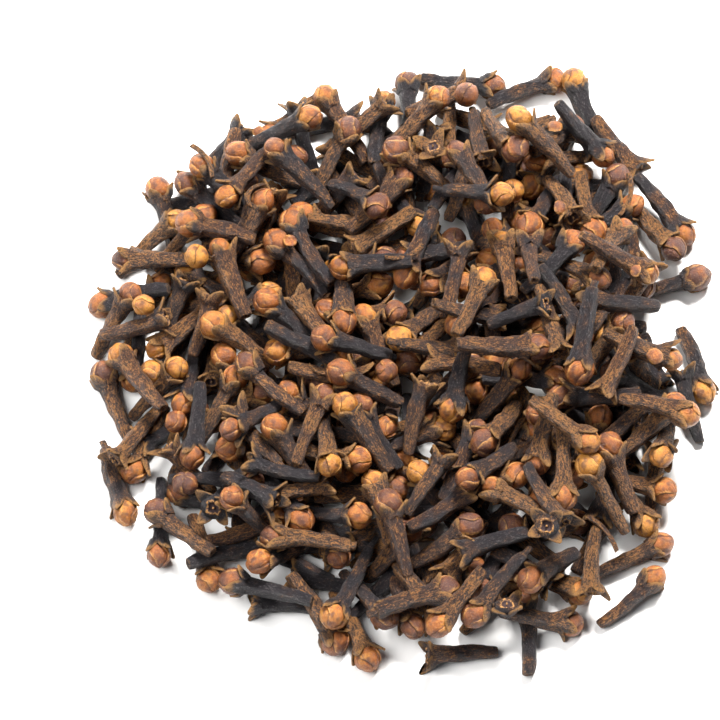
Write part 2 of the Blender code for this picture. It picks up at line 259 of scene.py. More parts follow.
# What has come off the cloves
LOOSE_REACH = 0.93  # of the heap's radius
LOOSE_TOP = 16 * MM  # nothing loose stands above this
LOOSE_TURN = 6  # radians, the most that it is turned about Z
LOOSE_BUDS = 7
LOOSE_RADIUS = (1.7 * MM, 2.1 * MM)
LOOSE_TIP = (-1.6, 0.6)  # radians
NESTLE_REACH = 1.0 * MM  # how far off a lower place is looked for
NESTLE_TRIES = 12
CALYXES = 1  # besides those shown
CALYX_STUB = (2.0 * MM, 3.4 * MM)
CALYX_TILT = (math.radians(50), math.radians(80))
CALYX_SUNK = 1.2 * MM  # its stub hangs into a gap
SHOWN_CALYXES = ((5.5 * MM, 35 * MM), (23.5 * MM, -34.5 * MM))
CAPS = 5  # besides the one shown
CAP_RADIUS = 2.0 * MM
CAP_SIZES = (0.7, 1.0)  # of CAP_RADIUS
CAP_SPANS = (0.65, 0.95), (0.5, 0.8)  # radians to either side, along it and across
CAP_CORNERS = 0.42  # how far its corners are cut
CAP_RAGGED = 0.05  # of its span
CAP_THICKNESS = 0.14 * MM
CAP_GRID = 7
CAP_DROP = 0.75  # of its radius, how far the middle of its round lies under its place
CAP_BALL = 0.55  # of its radius, the ball that carries it
CAP_OVER = 0.4  # of the caps lie hollow side up
CAP_TIP = 0.4  # radians
SHOWN_CAP = (38 * MM, 11 * MM)
STALKS = 6  # besides the one shown
STALK_LENGTH = (4.5 * MM, 8.5 * MM)
STALK_RADIUS = 0.5 * MM
STALK_BALL = 0.55 * MM  # the ball that carries it
STALK_TAPER = 0.25  # of its radius
STALK_WAVE = 0.08  # of its radius
STALK_END = 0.02 * MM
STALK_BEND = (0.8, 1.6)  # mm
STALK_TIP = 0.12  # radians
STALK_TINT = (0.8, 1.3)
STALK_AROUND = 10
SHOWN_STALK = (32 * MM, -33 * MM, math.radians(-50))

# Colours, linear
STEM_DARK = (0.018, 0.0145, 0.019)
STEM_BROWN = (0.056, 0.031, 0.024)
STEM_RED = (0.066, 0.028, 0.017)
STEM_OCHRE = (0.112, 0.058, 0.025)
# Near black, painted as shade in the hollows of the skin's grain
PIT_SHADE = (0.004, 0.003, 0.006)
FLECK = (0.390, 0.170, 0.050)
# Grey grains for the darker skin, partly a painted glint
GREY_GRAIN_AND_GLINT = (0.146, 0.128, 0.130)
LOBE_TIP = (0.370, 0.185, 0.058)
BUD_ORANGE = (0.250, 0.076, 0.015)
BUD_GOLD = (0.410, 0.175, 0.029)
BUD_PURPLE = (0.062, 0.023, 0.017)
BUD_EDGE = (0.490, 0.245, 0.068)
# Painted shade for the seam under a petal's free edge
BUD_SEAM_SHADE = (0.016, 0.007, 0.008)
CUP_DARK = (0.026, 0.013, 0.014)
TABLE_WHITES = (0.90, 0.90, 0.90), (0.92, 0.92, 0.92)

# A tint times one of these leaves another number of the clove's own after the point
REDNESS_TIMES = 13.7
BUD_TONE_TIMES = 7.3

# The light: name, side, watts, place, colour
ROOM_COLOUR = (0.91, 0.94, 1.0, 1.0)
ROOM_STRENGTH = 0.10
LAMPS = (
    ("back_lamp", 0.22, 22.3, (0.15, 0.42, 0.60), (1.0, 0.97, 0.93)),
    ("side_lamp", 0.50, 7.8, (-0.42, -0.05, 0.62), (1.0, 0.99, 0.97)),
)

# The view
CAMERA_ELEVATION = math.radians(69)
CAMERA_DISTANCE = 0.70
FIELD = 0.122  # how wide a strip of the table the picture shows
PICTURE = 720
MIDDLE_PIXEL = (408, 365)  # where the heap's middle falls, from the left and from the top
FARTHEST_SEEN = 10
TABLE_SIZE = 3


def stem_radius(clove, t):
    """Radius at share t of the stem, from the cut end to the calyx."""
    return clove.cut + (clove.neck - clove.cut) * np.asarray(t) ** TAPER


class Clove:
    """One clove: its own sizes, and where it lies once it is laid."""

    def __init__(self, rng, kind=None):
        drawn_kind = "open" if rng.random() < OPEN_SHARE else "bud"
        self.kind = kind or drawn_kind
        self.stem = rng.uniform(*STEM_LENGTH)
        self.cut = rng.uniform(*CUT_RADIUS)
        self.neck = rng.uniform(*NECK_RADIUS)
        self.bud = rng.uniform(*BUD_RADIUS)
        self.bow = rng.uniform(-STEM_BOW, STEM_BOW)
        self.roll = rng.uniform(*ROLL)
        self.tint = rng.random()
        self.middle = BALANCE * self.stem
        self.x = self.y = self.z = self.heading = self.tilt = 0.0

    def chain(self):
        """Balls that stand for the clove where it touches: place along it, place aside, radius."""
        t = np.array(STATIONS)
        along = np.append(t * self.stem, self.stem + CALYX_CENTRE)
        aside = np.append(self.bow * 4 * t * (1 - t), 0)
        radius = np.append(stem_radius(self, t), CALYX_RADIUS)
        if self.kind == "bud":
            along = np.append(along, self.stem + BUD_CENTRE)
            aside = np.append(aside, 0)
            radius = np.append(radius, self.bud)
        return along - self.middle, aside, radius * CONTACT

    def matrix(self):
        """From the clove's own frame, where +X runs from the cut end to the bud, to the heap's."""
        turn = Matrix.Rotation(self.heading, 4, "Z") @ Matrix.Rotation(-self.tilt, 4, "Y")
        return Matrix.Translation((self.x, self.y, self.z)) @ turn

    def balls(self):
        """The chain where the clove lies, as rows of x, y, z, radius."""
        along, aside, radius = self.chain()
        points = np.stack([along, aside, np.zeros_like(along), np.ones_like(along)])
        placed = np.array(self.matrix()) @ points
        return np.column_stack([placed[:3].T, radius])


def carried(balls, x, y, radius):
    """How high each ball of this radius at x, y lies, on the floor or on the balls given."""
    between = radius[:, None] + balls[:, 3]
    apart = (x[:, None] - balls[:, 0]) ** 2 + (y[:, None] - balls[:, 1]) ** 2
    room = np.maximum(between**2 - apart, 0)
    on_others = np.where(room > 0, balls[:, 2] + np.sqrt(room), 0)
    return np.maximum(radius, on_others.max(axis=1, initial=0))


class Heap:
    """The cloves laid so far."""

    def __init__(self, rng):
        self.rng = rng
        self.cloves = []
        self.balls = np.zeros((0, 4))

    def rest(self, clove, x, y, heading, lean=None):
        """Height and tilt at which the clove comes to rest there: the lowest for its middle."""
        along, aside, radius = clove.chain()
        back, front = along <= 0, along > 0
        rise = math.sin(lean) if lean else 0.0
        for _ in range(SLOPE_ROUNDS):
            run = along * math.sqrt(1 - rise * rise)
            high = carried(
                self.balls,
                x + run * math.cos(heading) - aside * math.sin(heading),
                y + run * math.sin(heading) + aside * math.cos(heading),
                radius,
            )
            if lean:
                break
            span = along[front] - along[back][:, None]
            step = high[front] - high[back][:, None]
            under = high[back][:, None] - along[back][:, None] * step / span
            held = np.unravel_index(under.argmax(), under.shape)
            rise = float(np.clip(step[held] / span[held], -STEEPEST, STEEPEST))
        return float((high - along * rise).max()), math.asin(rise)

    def outside(self, clove, x, y, heading):
        """How far the clove's farther end lies outside the heap."""
        run = clove.middle * math.cos(heading), clove.middle * math.sin(heading)
        farther = max(math.hypot(x + run[0], y + run[1]), math.hypot(x - run[0], y - run[1]))
        return max(0.0, farther - HEAP_RADIUS)

    def lay(self, clove, x, y, heading, shift=0.0, tries=0, lean=None):
        """Lays the clove near x, y, in the lowest of the places and turns that it tries."""
        place = (x, y, heading)
        rest = self.rest(clove, *place, lean)
        cost = rest[0] + self.outside(clove, *place)
        for attempt in range(tries):
            reach = shift * (1 - attempt / tries)
            dx, dy, turn = reach * self.rng.normal(size=3)
            new_place = (place[0] + dx, place[1] + dy, place[2] + turn / TURN_LENGTH)
            new_rest = self.rest(clove, *new_place, lean)
            new_cost = new_rest[0] + self.outside(clove, *new_place)
            if new_cost < cost:
                place, rest, cost = new_place, new_rest, new_cost
        clove.x, clove.y, clove.heading = place
        clove.z, clove.tilt = rest
        self.cloves.append(clove)
        self.balls = np.vstack([self.balls, clove.balls()])


def lay_shown(heap, rows, shift=0.0, tries=0):
    """Lays cloves where the photograph shows them: a higher one lies nearer to the camera."""
    for x, y, heading, kind in rows:
        clove = Clove(heap.rng, kind)
        place, heading = [x * MM, y * MM], math.radians(heading)
        for _ in range(SIGHT_ROUNDS):
            place[1] = y * MM - SIGHT_SLOPE * heap.rest(clove, *place, heading)[0]
        heap.lay(clove, *place, heading, shift, tries)


def lay_hidden_rim(heap):
    """Lays the rim on the side that the photograph hides, with no clove pointing straight out."""
    rng = heap.rng
    for i in range(HIDDEN_COUNT):
        share = (i + HIDDEN_JITTER * rng.random()) / HIDDEN_COUNT
        round_it = HIDDEN_FROM + share * (HIDDEN_TO - HIDDEN_FROM)
        out = HEAP_RADIUS - rng.uniform(*HIDDEN_INSET)
        heading = round_it + rng.choice((-1, 1)) * rng.uniform(*HIDDEN_HEADING)
        place = (out * math.cos(round_it), out * math.sin(round_it))
        heap.lay(Clove(rng), *place, heading, HIDDEN_SHIFT, HIDDEN_TRIES)


def lay_layer(heap, count, share, leaning, clearance, shown):
    """Lays an even layer of cloves, except on those that the photograph shows."""
    rng = heap.rng
    start = rng.uniform(0, 2 * math.pi)
    for i in rng.permutation(count):
        out = share * (HEAP_RADIUS - LAYER_INSET) * math.sqrt((i + 0.5) / count)
        round_it = start + i * GOLDEN_ANGLE
        x, y = out * math.cos(round_it), out * math.sin(round_it)
        if any(math.hypot(x - row[0] * MM, y - row[1] * MM) < clearance for row in shown):
            continue
        lean = rng.uniform(*LEAN) if rng.random() < leaning else None
        heading = rng.uniform(0, 2 * math.pi)
        heap.lay(Clove(rng), x, y, heading, LAYER_SHIFT, LAYER_TRIES, lean)


def lay_heap():
    """Lays the whole heap, from the rim and the floor up."""
    heap = Heap(np.random.default_rng(SEED))
    lay_shown(heap, RIM_CLOVES)
    lay_hidden_rim(heap)
    for layer in LOWER_LAYERS:
        lay_layer(heap, *layer, RIM_CLOVES)
    lay_layer(heap, *UPPER_LAYERS[0], RIM_CLOVES + TOP_CLOVES)
    lay_shown(heap, TOP_CLOVES, TOP_SHIFT, TOP_TRIES)
    lay_layer(heap, *UPPER_LAYERS[1], RIM_CLOVES + TOP_CLOVES)
    return heap


class Mesh:
    """Points, faces and what the materials read at each point, gathered for one piece."""

    def __init__(self):
        self.points = []
        self.faces = []
        self.slots = []
        self.own = []
        self.mark = []
        self.tint = []
        self.count = 0

    def add(self, points, faces, slot, own, mark, tint):
        """Adds a part. own is the place on its clove, mark how far along it and how near its edge."""
        self.points.append(points)
        self.faces.append(np.asarray(faces) + self.count)
        self.slots.append(np.full(len(faces), slot))
        self.own.append(own)
        self.mark.append(mark)
        self.tint.append(np.full(len(points), tint))
        self.count += len(points)

    def build(self, name, materials):
        """The piece, as a smooth object of quads."""
        points = np.concatenate(self.points)
        faces = np.concatenate(self.faces)
        data = bpy.data.meshes.new(name)
        data.vertices.add(len(points))
        data.vertices.foreach_set("co", points.astype(np.float32).ravel())
        data.loops.add(faces.size)
        data.loops.foreach_set("vertex_index", faces.astype(np.int32).ravel())
        data.polygons.add(len(faces))
        data.polygons.foreach_set("loop_start", np.arange(0, faces.size, 4, dtype=np.int32))
        for material in materials:
            data.materials.append(material)
        data.polygons.foreach_set("material_index", np.concatenate(self.slots).astype(np.int32))
        own = data.attributes.new("own", "FLOAT_VECTOR", "POINT")
        own.data.foreach_set("vector", np.concatenate(self.own).astype(np.float32).ravel())
        mark = data.attributes.new("mark", "FLOAT_VECTOR", "POINT")
        mark.data.foreach_set("vector", np.concatenate(self.mark).astype(np.float32).ravel())
        tint = data.attributes.new("tint", "FLOAT", "POINT")
        tint.data.foreach_set("value", np.concatenate(self.tint).astype(np.float32))
        data.update(calc_edges=True)
        data.shade_smooth()
        piece = bpy.data.objects.new(name, data)
        bpy.context.scene.collection.objects.link(piece)
        return piece


def ring_faces(rings, around):
    """Quads between rings of points, each with the same number of points round it."""
    start = np.arange(rings - 1)[:, None] * around
    here = np.arange(around)
    there = (here + 1) % around
    above = start + around
    quads = np.stack([start + here, start + there, above + there, above + here], axis=-1)
    return quads.reshape(-1, 4)


def tube(path_along, path_y, path_z, radius):
    """Rings of points about a path along +X. radius holds one row for each ring."""
    around = radius.shape[1]
    angle = np.arange(around) * 2 * math.pi / around
    y = path_y[:, None] + radius * np.cos(angle)
    z = path_z[:, None] + radius * np.sin(angle)
    x = np.repeat(path_along[:, None], around, axis=1)
    return np.stack([x, y, z], axis=-1)


def stem_rings(clove, rng):
    """The stem: a pitted cut end, a rounded square section with lumps and wrinkles, a bow."""
    end = [clove.stem, clove.stem + END_BEYOND]
    along = np.concatenate([CUT_RINGS, STEM_SHARES * clove.stem, end])
    share = np.clip(along / clove.stem, 0, 1)
    collar = COLLAR * (np.clip(share - COLLAR_FROM, 0, 1) / (1 - COLLAR_FROM)) ** 1.5
    radius = stem_radius(clove, share) * rng.uniform(*SLENDER) * (1 + collar)
    radius[: len(CUT_SHARES)] *= CUT_SHARES
    radius[-1] *= END_SHARE
    angle = np.arange(STEM_AROUND) * 2 * math.pi / STEM_AROUND
    phase = rng.uniform(0, 2 * math.pi, 6)
    t = share[:, None]
    # Corners, then broad lumps that turn along the stem, then wrinkles
    uneven = CORNERS * np.cos(4 * (angle - clove.roll))
    uneven = uneven + LUMPS * np.sin(angle + phase[0] + 6 * t) * np.sin(9 * t + phase[1])
    uneven = uneven + LUMPS * 0.7 * np.sin(2 * angle + phase[2] - 8 * t)
    uneven = uneven + WRINKLES * np.sin(5 * angle + phase[3] + 2.5 * np.sin(11 * t + phase[4]))
    uneven = uneven + 0.5 * WRINKLES * np.sin(23 * t + 3 * angle + phase[5])
    bow = clove.bow * 4 * share * (1 - share)
    sway = SWAY * np.sin(2 * math.pi * share + phase[0])
    points = tube(along, bow, sway, radius[:, None] * (1 + uneven))
    mark = np.zeros_like(points)
    mark[..., 0] = t
    return points, mark


def lobe_rings(clove, rng, angle):
    """One calyx lobe: a pointed, cupped plate that runs up beside the bud and spreads."""
    reach = rng.uniform(*LOBE_REACH[clove.kind]) * MM
    tip_out = rng.uniform(*LOBE_OUT[clove.kind]) * MM
    if rng.random() < SHORT_LOBES:
        reach *= SHORT_REACH
        tip_out -= SHORT_OUT
    root_out = LOBE_ROOT_OUT * clove.neck
    share = np.array(LOBE_SHARES)
    along = clove.stem - LOBE_ROOT + reach * share
    out = root_out + (tip_out - root_out) * share ** rng.uniform(*LOBE_SPREAD)
    out = out + rng.uniform(*LOBE_FLICK) * MM * share**4
    half_width = (LOBE_WIDTH[0] * (1 - share**2.2) ** 0.7 + LOBE_WIDTH[1]) * MM
    half_thick = (LOBE_THICKNESS[0] * (1 - share) ** 1.6 + LOBE_THICKNESS[1]) * MM
    half_width[-1] = half_thick[-1] = LOBE_POINT
    if clove.kind == "bud":
        beside = clove.bud**2 - (along - clove.stem - BUD_CENTRE) ** 2
        bud_out = np.sqrt(np.maximum(beside, 0)) + LOBE_OFF * half_thick + LOBE_GAP
        out = np.where(share > LOBE_AGAINST, np.maximum(out, bud_out), out)
    slope = np.arctan2(np.gradient(out), np.gradient(along))
    turn = np.arange(LOBE_AROUND) * 2 * math.pi / LOBE_AROUND
    side = half_width[:, None] * np.cos(turn)
    lift = half_thick[:, None] * np.where(np.sin(turn) > 0, 1, LOBE_INSIDE) * np.sin(turn)
    curl = rng.uniform(*LOBE_CURL) * side**2 / MM * np.minimum(1, 2 * share)[:, None]
    x = along[:, None] - (lift - curl) * np.sin(slope)[:, None]
    r = out[:, None] + (lift - curl) * np.cos(slope)[:, None]
    y = r * math.cos(angle) - side * math.sin(angle)
    z = r * math.sin(angle) + side * math.cos(angle)
    points = np.stack([x, y, z], axis=-1)
    mark = np.zeros_like(points)
    mark[..., 0] = 1 + share[:, None]
    mark[..., 1] = np.abs(np.cos(turn))
    return points[::-1], mark[::-1]


def bud_rings(radius, roll, rng):
    """A round bud of four petals, each folded over the next, about its own centre with +X up."""
    polar = np.linspace(BUD_POLE, math.pi - BUD_POLE, BUD_RINGS)[:, None]
    fold = np.tile(FOLDS, PETALS)[None, :]
    phase = rng.uniform(0, 2 * math.pi, 5)
    twist = rng.uniform(*BUD_TWIST) * rng.choice((-1, 1))
    turn = roll + np.repeat(np.arange(PETALS), len(FOLDS))[None, :] * 2 * math.pi / PETALS
    turn = turn + (fold + 1) * math.pi / PETALS + twist * np.cos(polar)
    turn = turn + BUD_SWERVE[0] * np.sin(3 * polar + phase[0])
    turn = turn + BUD_SWERVE[1] * np.sin(9 * polar + phase[3])
    steps = rng.uniform(*FOLD_STEPS, PETALS) * FOLD_STEP
    uneven = 1 + np.repeat(steps, len(FOLDS))[None, :] * fold * np.sin(polar)
    uneven = uneven + FOLD_CROWN * (1 - fold**2)
    uneven = uneven + rng.uniform(*BUD_POINT) * np.clip(np.cos(polar), 0, 1) ** 6
    broad, small, fine = BUD_LUMPS
    uneven = uneven + broad * np.sin(2 * turn + phase[1]) * np.sin(polar)
    uneven = uneven + small * np.sin(5 * turn + phase[2]) * np.sin(4 * polar + phase[3])
    uneven = uneven + fine * np.sin(9 * turn + phase[4]) * np.sin(5 * polar + phase[1])
    out = radius * uneven
    x = out * np.cos(polar) * rng.uniform(*BUD_STRETCH)
    y = out * np.sin(polar) * np.cos(turn)
    z = out * np.sin(polar) * np.sin(turn)
    points = np.stack([x, y, z], axis=-1)
    mark = np.zeros_like(points)
    mark[..., 0] = fold
    mark[..., 1] = np.cos(polar)
    return points[::-1], mark[::-1]


def cup_rings(clove, rng):
    """What a lost bud leaves: a low square wall round a hollow, with a short style in it."""
    along = np.array(CUP_RISE) * MM + clove.stem
    radius = np.array(CUP_SHARES) * clove.neck
    turn = np.arange(STEM_AROUND) * 2 * math.pi / STEM_AROUND
    phase = rng.uniform(0, CUP_PHASE, 2)
    ragged = CUP_RAGGED * (np.sin(3 * turn + phase[0]) + np.sin(7 * turn + phase[1]))
    squared = radius[:, None] * (1 + CUP_CORNERS * np.cos(4 * (turn - clove.roll)) + ragged)
    points = tube(along, along * 0, along * 0, squared)
    points[CUP_WALL, :, 0] += CUP_WALL_RAGGED * ragged * MM
    mark = np.zeros_like(points)
    mark[..., 0] = (along[:, None] - clove.stem) / MM
    return points, mark


def stub_rings(clove, rng):
    """The stub of stalk that some cloves keep."""
    reach = rng.uniform(*STUB_REACH) * MM
    along = np.array([STUB_ROOT, -0.3 * reach, -reach, -reach])
    radius = np.array(STUB_SHARES) * clove.cut
    bend = rng.uniform(*STUB_BEND) * MM * np.array([0, 0.3, 1, 1])
    points = tube(along, bend, bend * 0, np.repeat(radius[:, None], STUB_AROUND, axis=1))[::-1]
    mark = np.zeros_like(points)
    mark[..., 0] = BARK
    return points, mark


def put(mesh, points, mark, slot, place, apart, tint):
    """Adds rings of points, carried from their own frame to their place by a 4 x 4 matrix."""
    rings, around = points.shape[:2]
    flat = points.reshape(-1, 3)
    placed = flat @ place[:3, :3].T + place[:3, 3]
    placed[:, 2] = np.clip(placed[:, 2], 0, HIGHEST)
    mesh.add(placed, ring_faces(rings, around), slot, flat / MM + apart, mark.reshape(-1, 3), tint)


def add_clove(mesh, clove, rng):
    """Models the clove in its own frame and adds it where it lies."""
    parts = [(*stem_rings(clove, rng), STEM_SLOT)]
    for k in range(LOBES):
        angle = clove.roll + k * 2 * math.pi / LOBES + rng.normal(0, LOBE_TURN)
        parts.append((*lobe_rings(clove, rng, angle), STEM_SLOT))
    if clove.kind == "bud":
        points, mark = bud_rings(clove.bud, clove.roll, rng)
        points = points + (clove.stem + BUD_CENTRE, 0, 0)
        parts.append((points, mark, BUD_SLOT))
    else:
        parts.append((*cup_rings(clove, rng), CUP_SLOT))
    if rng.random() < STUB_SHARE:
        parts.append((*stub_rings(clove, rng), STEM_SLOT))
    apart = rng.uniform(0, NOISE_ROOM, 3)
    place = np.array(clove.matrix())
    for points, mark, slot in parts:
        put(mesh, points - (clove.middle, 0, 0), mark, slot, place, apart, clove.tint)


def height_at(balls, x, y, radius):
    """How high a ball of this radius comes to rest at x, y."""
    return carried(balls, np.array([x]), np.array([y]), np.array([radius]))[0]


def scattered(balls, radius, rng):
    """A place on the heap where a ball of this radius stays below the highest cloves."""
    while True:
        turn = rng.uniform(0, 2 * math.pi)
        out = LOOSE_REACH * HEAP_RADIUS * math.sqrt(rng.random())
        x, y = out * math.cos(turn), out * math.sin(turn)
        if height_at(balls, x, y, radius) + radius < LOOSE_TOP:
            return x, y


def nestled(balls, x, y, radius, rng):
    """The lowest of some places near x, y for a ball of this radius."""
    near = rng.normal((x, y), NESTLE_REACH, (NESTLE_TRIES, 2))
    return near[carried(balls, *near.T, np.full(NESTLE_TRIES, radius)).argmin()]


def tumbled(balls, x, y, radius, turn, tip):
    """The matrix of something that has come to rest at x, y, turned about Z and tipped about Y."""
    spin = Matrix.Rotation(turn, 4, "Z") @ Matrix.Rotation(tip, 4, "Y")
    return np.array(Matrix.Translation((x, y, height_at(balls, x, y, radius))) @ spin)


def add_loose_bud(mesh, balls, rng):
    """A bud that has come off its clove, on the heap or between its cloves."""
    radius = rng.uniform(*LOOSE_RADIUS)
    spot = nestled(balls, *scattered(balls, radius, rng), radius, rng)
    place = tumbled(balls, *spot, radius, rng.uniform(0, LOOSE_TURN), rng.uniform(*LOOSE_TIP))
    points, mark = bud_rings(radius, 0, rng)
    put(mesh, points, mark, ONLY_SLOT, place, rng.uniform(0, NOISE_ROOM, 3), rng.random())


def add_calyx(mesh, balls, rng, spot=None):
    """A calyx that has broken off an open clove and lies with its star of lobes up."""
    x, y = nestled(balls, *(spot or scattered(balls, CALYX_RADIUS, rng)), CALYX_RADIUS, rng)
    calyx = Clove(rng, "open")
    calyx.stem = rng.uniform(*CALYX_STUB)
    calyx.middle = BALANCE * calyx.stem
    calyx.x, calyx.y, calyx.z = x, y, height_at(balls, x, y, CALYX_RADIUS) - CALYX_SUNK
    calyx.heading = rng.uniform(0, 2 * math.pi)
    calyx.tilt = rng.uniform(*CALYX_TILT)
    add_clove(mesh, calyx, rng)


def add_cap(mesh, balls, rng, spot=None):
    """A dry petal, with the round of the bud that it comes from and a ragged edge."""
    radius = CAP_RADIUS * rng.uniform(*CAP_SIZES)
    span = np.linspace(-1, 1, CAP_GRID)
    u, v = np.meshgrid(span, span, indexing="ij")
    ragged = rng.normal(0, CAP_RAGGED, u.shape)
    shrink = np.sqrt(1 - CAP_CORNERS * np.minimum(u**2, v**2)) * (1 + ragged)
    a = rng.uniform(*CAP_SPANS[0]) * u * shrink
    b = rng.uniform(*CAP_SPANS[1]) * v * shrink
    outward = np.stack([np.sin(a) * np.cos(b), np.sin(b), np.cos(a) * np.cos(b)], axis=-1)
    top = outward * radius - (0, 0, CAP_DROP * radius)
    under = top - outward * CAP_THICKNESS
    sheet = np.concatenate([top, under[:, ::-1]], axis=1)
    rim = np.maximum(np.abs(u), np.abs(v))
    mark = np.zeros_like(sheet)
    mark[..., 0] = np.concatenate([rim, rim[:, ::-1]], axis=1)
    over = math.pi if rng.random() < CAP_OVER else 0
    tip = over + rng.normal(0, CAP_TIP)
    ball = CAP_BALL * radius
    x, y = spot or scattered(balls, ball, rng)
    place = tumbled(balls, x, y, ball, rng.uniform(0, LOOSE_TURN), tip)
    put(mesh, sheet, mark, ONLY_SLOT, place, rng.uniform(0, NOISE_ROOM, 3), rng.random())


def add_stalk(mesh, balls, rng, spot=None):
    """A loose, bent length of flower stalk."""
    x, y, turn = spot or (*scattered(balls, STALK_BALL, rng), rng.uniform(0, LOOSE_TURN))
    length = rng.uniform(*STALK_LENGTH)
    share = np.concatenate([[0, 0], np.linspace(0.03, 0.97, 9), [1, 1]])
    radius = STALK_RADIUS * (1 - STALK_TAPER * share + STALK_WAVE * np.sin(9 * share))
    radius[[0, -1]] = STALK_END
    bend = rng.uniform(*STALK_BEND) * MM * 4 * share * (1 - share)
    along = (share - 0.5) * length
    points = tube(along, bend, bend * 0, np.repeat(radius[:, None], STALK_AROUND, axis=1))
    mark = np.zeros_like(points)
    mark[..., 0] = BARK
    place = tumbled(balls, x, y, STALK_BALL, turn, rng.normal(0, STALK_TIP))
    apart = rng.uniform(0, NOISE_ROOM, 3)
    put(mesh, points, mark, ONLY_SLOT, place, apart, rng.uniform(*STALK_TINT))


def deep_cloves(heap, rng):
    """Cloves on the table in the gaps of the heap, under what lies over them, held to the darkest
    tones as painted shade.
    """
    deep = []
    for i in range(DEEP_PLACES):
        out = DEEP_RADIUS * math.sqrt((i + 0.5) / DEEP_PLACES)
        x, y = out * math.cos(i * GOLDEN_ANGLE), out * math.sin(i * GOLDEN_ANGLE)
        bare = height_at(heap.balls, x, y, BARE_BALL) < BARE_BELOW
        if bare or i % DEEP_EXTRA == 0:
            clove = Clove(rng, "open")
            # Painted shade: a deep clove takes only the darkest part of the range of tones
            clove.tint *= DEEP_SHADE_TINT
            clove.x, clove.y, clove.z = x, y, clove.neck
            clove.heading = rng.uniform(0, 2 * math.pi)
            heap.balls = np.vstack([heap.balls, clove.balls()])
            deep.append(clove)
    return deep


class Nodes:
    """A short way to write a material's node tree."""

    def __init__(self, name, roughness, specular=0.5):
        self.material = bpy.data.materials.new(name)
        self.material.use_nodes = True
        self.tree = self.material.node_tree
        self.shader = self.tree.nodes["Principled BSDF"]
        self.shader.inputs["Roughness"].default_value = roughness
        self.shader.inputs["Specular IOR Level"].default_value = specular

    def node(self, kind, **settings):
        made = self.tree.nodes.new(kind)
        for key, value in settings.items():
            setattr(made, key, value)
        return made

    def link(self, value, socket):
        """Joins an output to a socket, or sets the socket to a plain value."""
        if isinstance(value, bpy.types.NodeSocket):
            self.tree.links.new(value, socket)
        else:
            socket.default_value = value

    def attribute(self, name, output):
        return self.node("ShaderNodeAttribute", attribute_name=name).outputs[output]

    def split(self, vector):
        apart = self.node("ShaderNodeSeparateXYZ")
        self.link(vector, apart.inputs[0])
        return apart.outputs

    def math(self, operation, a, b=0.0):
        made = self.node("ShaderNodeMath", operation=operation)
        self.link(a, made.inputs[0])
        self.link(b, made.inputs[1])
        return made.outputs[0]

    def stretch(self, vector, scale):
        made = self.node("ShaderNodeVectorMath", operation="MULTIPLY")
        self.link(vector, made.inputs[0])
        made.inputs[1].default_value = scale
        return made.outputs[0]

    def noise(self, vector, scale, detail=2.0, roughness=0.5, distortion=0.0):
        made = self.node("ShaderNodeTexNoise")
        self.link(vector, made.inputs["Vector"])
        made.inputs["Scale"].default_value = scale
        made.inputs["Detail"].default_value = detail
        made.inputs["Roughness"].default_value = roughness
        made.inputs["Distortion"].default_value = distortion
        return made.outputs["Fac"]

    def ramp(self, value, low, high, most=1.0):
        """0 up to low, most from high on, and smooth between."""
        made = self.node("ShaderNodeMapRange", interpolation_type="SMOOTHSTEP")
        self.link(value, made.inputs["Value"])
        made.inputs["From Min"].default_value = low
        made.inputs["From Max"].default_value = high
        made.inputs["To Max"].default_value = most
        return made.outputs["Result"]

    def mix(self, share, a, b):
        """Colour a, going to colour b as share goes to 1."""
        made = self.node("ShaderNodeMix", data_type="RGBA")
        self.link(share, made.inputs[0])
        for colour, socket in ((a, made.inputs[6]), (b, made.inputs[7])):
            self.link((*colour, 1) if isinstance(colour, tuple) else colour, socket)
        return made.outputs[2]

    def bump(self, height, depth):
        made = self.node("ShaderNodeBump")
        made.inputs["Distance"].default_value = depth
        self.link(height, made.inputs["Height"])
        self.link(made.outputs["Normal"], self.shader.inputs["Normal"])

    def finish(self, colour):
        self.link(colour, self.shader.inputs["Base Color"])
        return self.material


